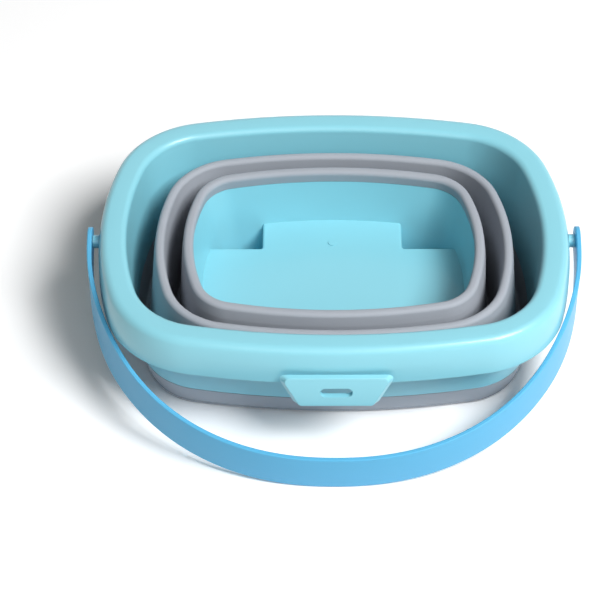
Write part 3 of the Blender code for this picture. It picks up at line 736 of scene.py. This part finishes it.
def moulded(name, colour, deep, smooth, rough, grain_scale, grain_depth, shine, coat):
    """A moulded plastic: soft colour drift, uneven gloss and a fine moulded grain."""
    finish = bpy.data.materials.new(name)
    finish.use_nodes = True
    nodes, links = finish.node_tree.nodes, finish.node_tree.links
    shader = nodes["Principled BSDF"]
    shader.inputs["Specular IOR Level"].default_value = shine
    shader.inputs["Coat Weight"].default_value = coat
    shader.inputs["Coat Roughness"].default_value = COAT_ROUGHNESS
    place = nodes.new("ShaderNodeTexCoord")
    drift = nodes.new("ShaderNodeMix")
    drift.data_type = "RGBA"
    drift.inputs["A"].default_value = (*deep, 1)
    drift.inputs["B"].default_value = (*colour, 1)
    drifting = noise(nodes, links, place, DRIFT_SCALE, DRIFT_DETAIL)
    links.new(drifting.outputs["Fac"], drift.inputs["Factor"])
    links.new(drift.outputs["Result"], shader.inputs["Base Color"])
    gloss = nodes.new("ShaderNodeMapRange")
    gloss.inputs["To Min"].default_value = smooth
    gloss.inputs["To Max"].default_value = rough
    handled = noise(nodes, links, place, GLOSS_SCALE, GLOSS_DETAIL)
    links.new(handled.outputs["Fac"], gloss.inputs["Value"])
    links.new(gloss.outputs["Result"], shader.inputs["Roughness"])
    bump = nodes.new("ShaderNodeBump")
    bump.inputs["Strength"].default_value = GRAIN_STRENGTH
    bump.inputs["Distance"].default_value = grain_depth
    grain = noise(nodes, links, place, grain_scale, GRAIN_DETAIL)
    links.new(grain.outputs["Fac"], bump.inputs["Height"])
    links.new(bump.outputs["Normal"], shader.inputs["Normal"])
    return finish


def dress(piece, body, slot, *nodes):
    """A piece that stands for CAD nodes and rides on a body; its slot is not used."""
    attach(piece, body)
    if nodes:
        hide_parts(*nodes)


def dress_fold(piece, node):
    """A soft fold, baked in place, that stands for a CAD node."""
    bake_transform(piece)
    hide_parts(node)


def seen_directly(nodes, links):
    """A value of 1 for rays from the camera, off gloss and through clear parts, and of 0 for light.

    A ray that has already left a matt surface counts as light.
    """
    path = nodes.new("ShaderNodeLightPath")
    either = nodes.new("ShaderNodeMath")
    either.operation = "MAXIMUM"
    links.new(path.outputs["Is Camera Ray"], either.inputs[0])
    links.new(path.outputs["Is Glossy Ray"], either.inputs[1])
    seen = nodes.new("ShaderNodeMath")
    seen.operation = "MAXIMUM"
    links.new(either.outputs["Value"], seen.inputs[0])
    links.new(path.outputs["Is Transmission Ray"], seen.inputs[1])
    straight = nodes.new("ShaderNodeMath")
    straight.operation = "SUBTRACT"
    straight.use_clamp = True
    links.new(seen.outputs["Value"], straight.inputs[0])
    links.new(path.outputs["Diffuse Depth"], straight.inputs[1])
    return straight.outputs["Value"]


def floor_material():
    """Pale matte floor that shows white, keeps the bucket's shadows and runs out into plain white."""
    finish = bpy.data.materials.new("studio_floor")
    finish.use_nodes = True
    nodes, links = finish.node_tree.nodes, finish.node_tree.links
    nodes.remove(nodes["Principled BSDF"])
    matte = nodes.new("ShaderNodeBsdfDiffuse")
    shade = nodes.new("ShaderNodeMix")
    shade.data_type = "RGBA"
    shade.inputs["A"].default_value = (*FLOOR_COLOUR, 1)
    shade.inputs["B"].default_value = (*FLOOR_SEEN, 1)
    seen = seen_directly(nodes, links)
    links.new(seen, shade.inputs["Factor"])
    links.new(shade.outputs["Result"], matte.inputs["Color"])
    reach = nodes.new("ShaderNodeVectorMath")
    reach.operation = "LENGTH"
    links.new(nodes.new("ShaderNodeTexCoord").outputs["Object"], reach.inputs[0])
    fade = nodes.new("ShaderNodeMapRange")
    fade.inputs["From Min"].default_value = FLOOR_FADE_START
    fade.inputs["From Max"].default_value = FLOOR_FADE_END
    links.new(reach.outputs["Value"], fade.inputs["Value"])
    strength = nodes.new("ShaderNodeMath")
    strength.operation = "MULTIPLY"
    links.new(fade.outputs["Result"], strength.inputs[0])
    links.new(seen, strength.inputs[1])
    glow = nodes.new("ShaderNodeEmission")
    links.new(strength.outputs["Value"], glow.inputs["Strength"])
    total = nodes.new("ShaderNodeAddShader")
    links.new(matte.outputs["BSDF"], total.inputs[0])
    links.new(glow.outputs["Emission"], total.inputs[1])
    links.new(total.outputs["Shader"], nodes["Material Output"].inputs["Surface"])
    return finish


def studio_floor():
    """The flat square that the bucket stands on."""
    half = FLOOR_SIZE / 2
    shape = bmesh.new()
    corners = [(-half, -half, 0), (half, -half, 0), (half, half, 0), (-half, half, 0)]
    shape.faces.new([shape.verts.new(corner) for corner in corners])
    floor = add_object("studio_floor", mesh_from("studio_floor", shape), floor_material())


def soft_lamp(name, elevation, azimuth, size, power):
    """A square soft lamp that faces the middle of the bucket."""
    lamp = bpy.data.lights.new(name, "AREA")
    lamp.size = size
    lamp.energy = power
    toward = Vector((cos(elevation) * cos(azimuth), cos(elevation) * sin(azimuth), sin(elevation)))
    item = bpy.data.objects.new(name, lamp)
    item.location = toward * LAMP_DISTANCE
    item.rotation_euler = toward.to_track_quat("Z", "Y").to_euler()
    bpy.context.scene.collection.objects.link(item)


def studio_world():
    """Even light all round, seen as plain white by the camera and in reflections."""
    world = bpy.data.worlds.new("studio_world")
    world.use_nodes = True
    nodes, links = world.node_tree.nodes, world.node_tree.links
    level = nodes.new("ShaderNodeMath")
    level.operation = "MAXIMUM"
    links.new(seen_directly(nodes, links), level.inputs[0])
    level.inputs[1].default_value = WORLD_STRENGTH
    links.new(level.outputs["Value"], nodes["Background"].inputs["Strength"])
    nodes["Background"].inputs["Color"].default_value = (1, 1, 1, 1)
    bpy.context.scene.world = world


def studio_camera():
    """The photograph's view: 45 degrees down and nearly straight at the tab."""
    back = Vector((sin(CAMERA_AZIMUTH) * cos(CAMERA_ELEVATION),
                   -cos(CAMERA_AZIMUTH) * cos(CAMERA_ELEVATION), sin(CAMERA_ELEVATION)))
    right = Vector((cos(CAMERA_AZIMUTH), sin(CAMERA_AZIMUTH), 0))
    up = back.cross(right)
    lens = bpy.data.cameras.new("studio_camera")
    lens.sensor_width = SENSOR_WIDTH
    lens.lens = FOCAL_PIXELS / IMAGE_PIXELS * SENSOR_WIDTH
    camera = bpy.data.objects.new("studio_camera", lens)
    camera.matrix_world = Matrix.Translation(
        back * CAMERA_DISTANCE + right * CAMERA_RIGHT + up * CAMERA_UP) @ Matrix(
        (right, up, back)).transposed().to_4x4()
    bpy.context.scene.collection.objects.link(camera)
    bpy.context.scene.camera = camera


def dress_bucket():
    """Every piece of the bucket, with its material, body and the node that it stands for."""
    turquoise = moulded("turquoise_moulding", TURQUOISE, TURQUOISE_DEEP, TURQUOISE_SMOOTH,
                        TURQUOISE_ROUGH, TURQUOISE_GRAIN, TURQUOISE_GRAIN_DEPTH, TURQUOISE_SHINE,
                        TURQUOISE_COAT)
    grey = moulded("grey_soft_moulding", GREY, GREY_DEEP, GREY_SMOOTH, GREY_ROUGH, GREY_GRAIN,
                   GREY_GRAIN_DEPTH, GREY_SHINE, GREY_COAT)
    blue = moulded("blue_moulding", BLUE, BLUE_DEEP, BLUE_SMOOTH, BLUE_ROUGH, BLUE_GRAIN,
                   BLUE_GRAIN_DEPTH, BLUE_SHINE, BLUE_COAT)
    dress(rim_shell(turquoise), "rim", "turquoise_plastic", "rim_frame")
    dress(front_tab(turquoise), "rim", "turquoise_plastic")
    dress(rim_hem(grey), "rim", "grey_rubber", "rim_hem")
    dress(middle_band(grey), "band", "grey_rubber", "middle_band")
    dress(tray_collar(grey), "tray", "grey_rubber", "tray_collar")
    dress(base_tray(turquoise), "tray", "turquoise_plastic", "base_tray")
    dress(handle_strap(blue), "handle", "blue_plastic", "handle_strap")
    dress(pivot_pin("pin_right", 1, turquoise), "rim", "turquoise_plastic", "pivot_pin_right")
    dress(pivot_pin("pin_left", -1, turquoise), "rim", "turquoise_plastic", "pivot_pin_left")
    outer = fold("soft_outer_fold", RIM.inset(HEM_BOTTOM_INSET), HEM_BOTTOM - GAP,
                 RIM.inset(FOLD_INSET), BAND, CREST_UNDERSIDE - SEAM, grey)
    dress_fold(outer, "outer_fold")
    inner = fold("soft_inner_fold", BAND_INNER_BOTTOM.inset(-SKIN), BAND_BOTTOM - GAP,
                 INNER_FOLD, TRAY, TRAY_TOP - SEAM, grey)
    dress_fold(inner, "inner_fold")


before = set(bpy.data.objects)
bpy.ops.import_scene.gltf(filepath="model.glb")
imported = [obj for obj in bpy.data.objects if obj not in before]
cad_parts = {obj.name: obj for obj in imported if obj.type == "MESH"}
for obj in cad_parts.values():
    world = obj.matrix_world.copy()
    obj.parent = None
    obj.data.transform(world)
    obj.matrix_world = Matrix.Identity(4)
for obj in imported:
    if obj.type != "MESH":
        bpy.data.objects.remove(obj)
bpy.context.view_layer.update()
dress_bucket()
studio_floor()
soft_lamp("key_light", KEY_ELEVATION, KEY_AZIMUTH, KEY_SIZE, KEY_POWER)
soft_lamp("fill_light", FILL_ELEVATION, FILL_AZIMUTH, FILL_SIZE, FILL_POWER)
studio_world()
studio_camera()
bpy.context.scene.view_settings.view_transform = "Standard"
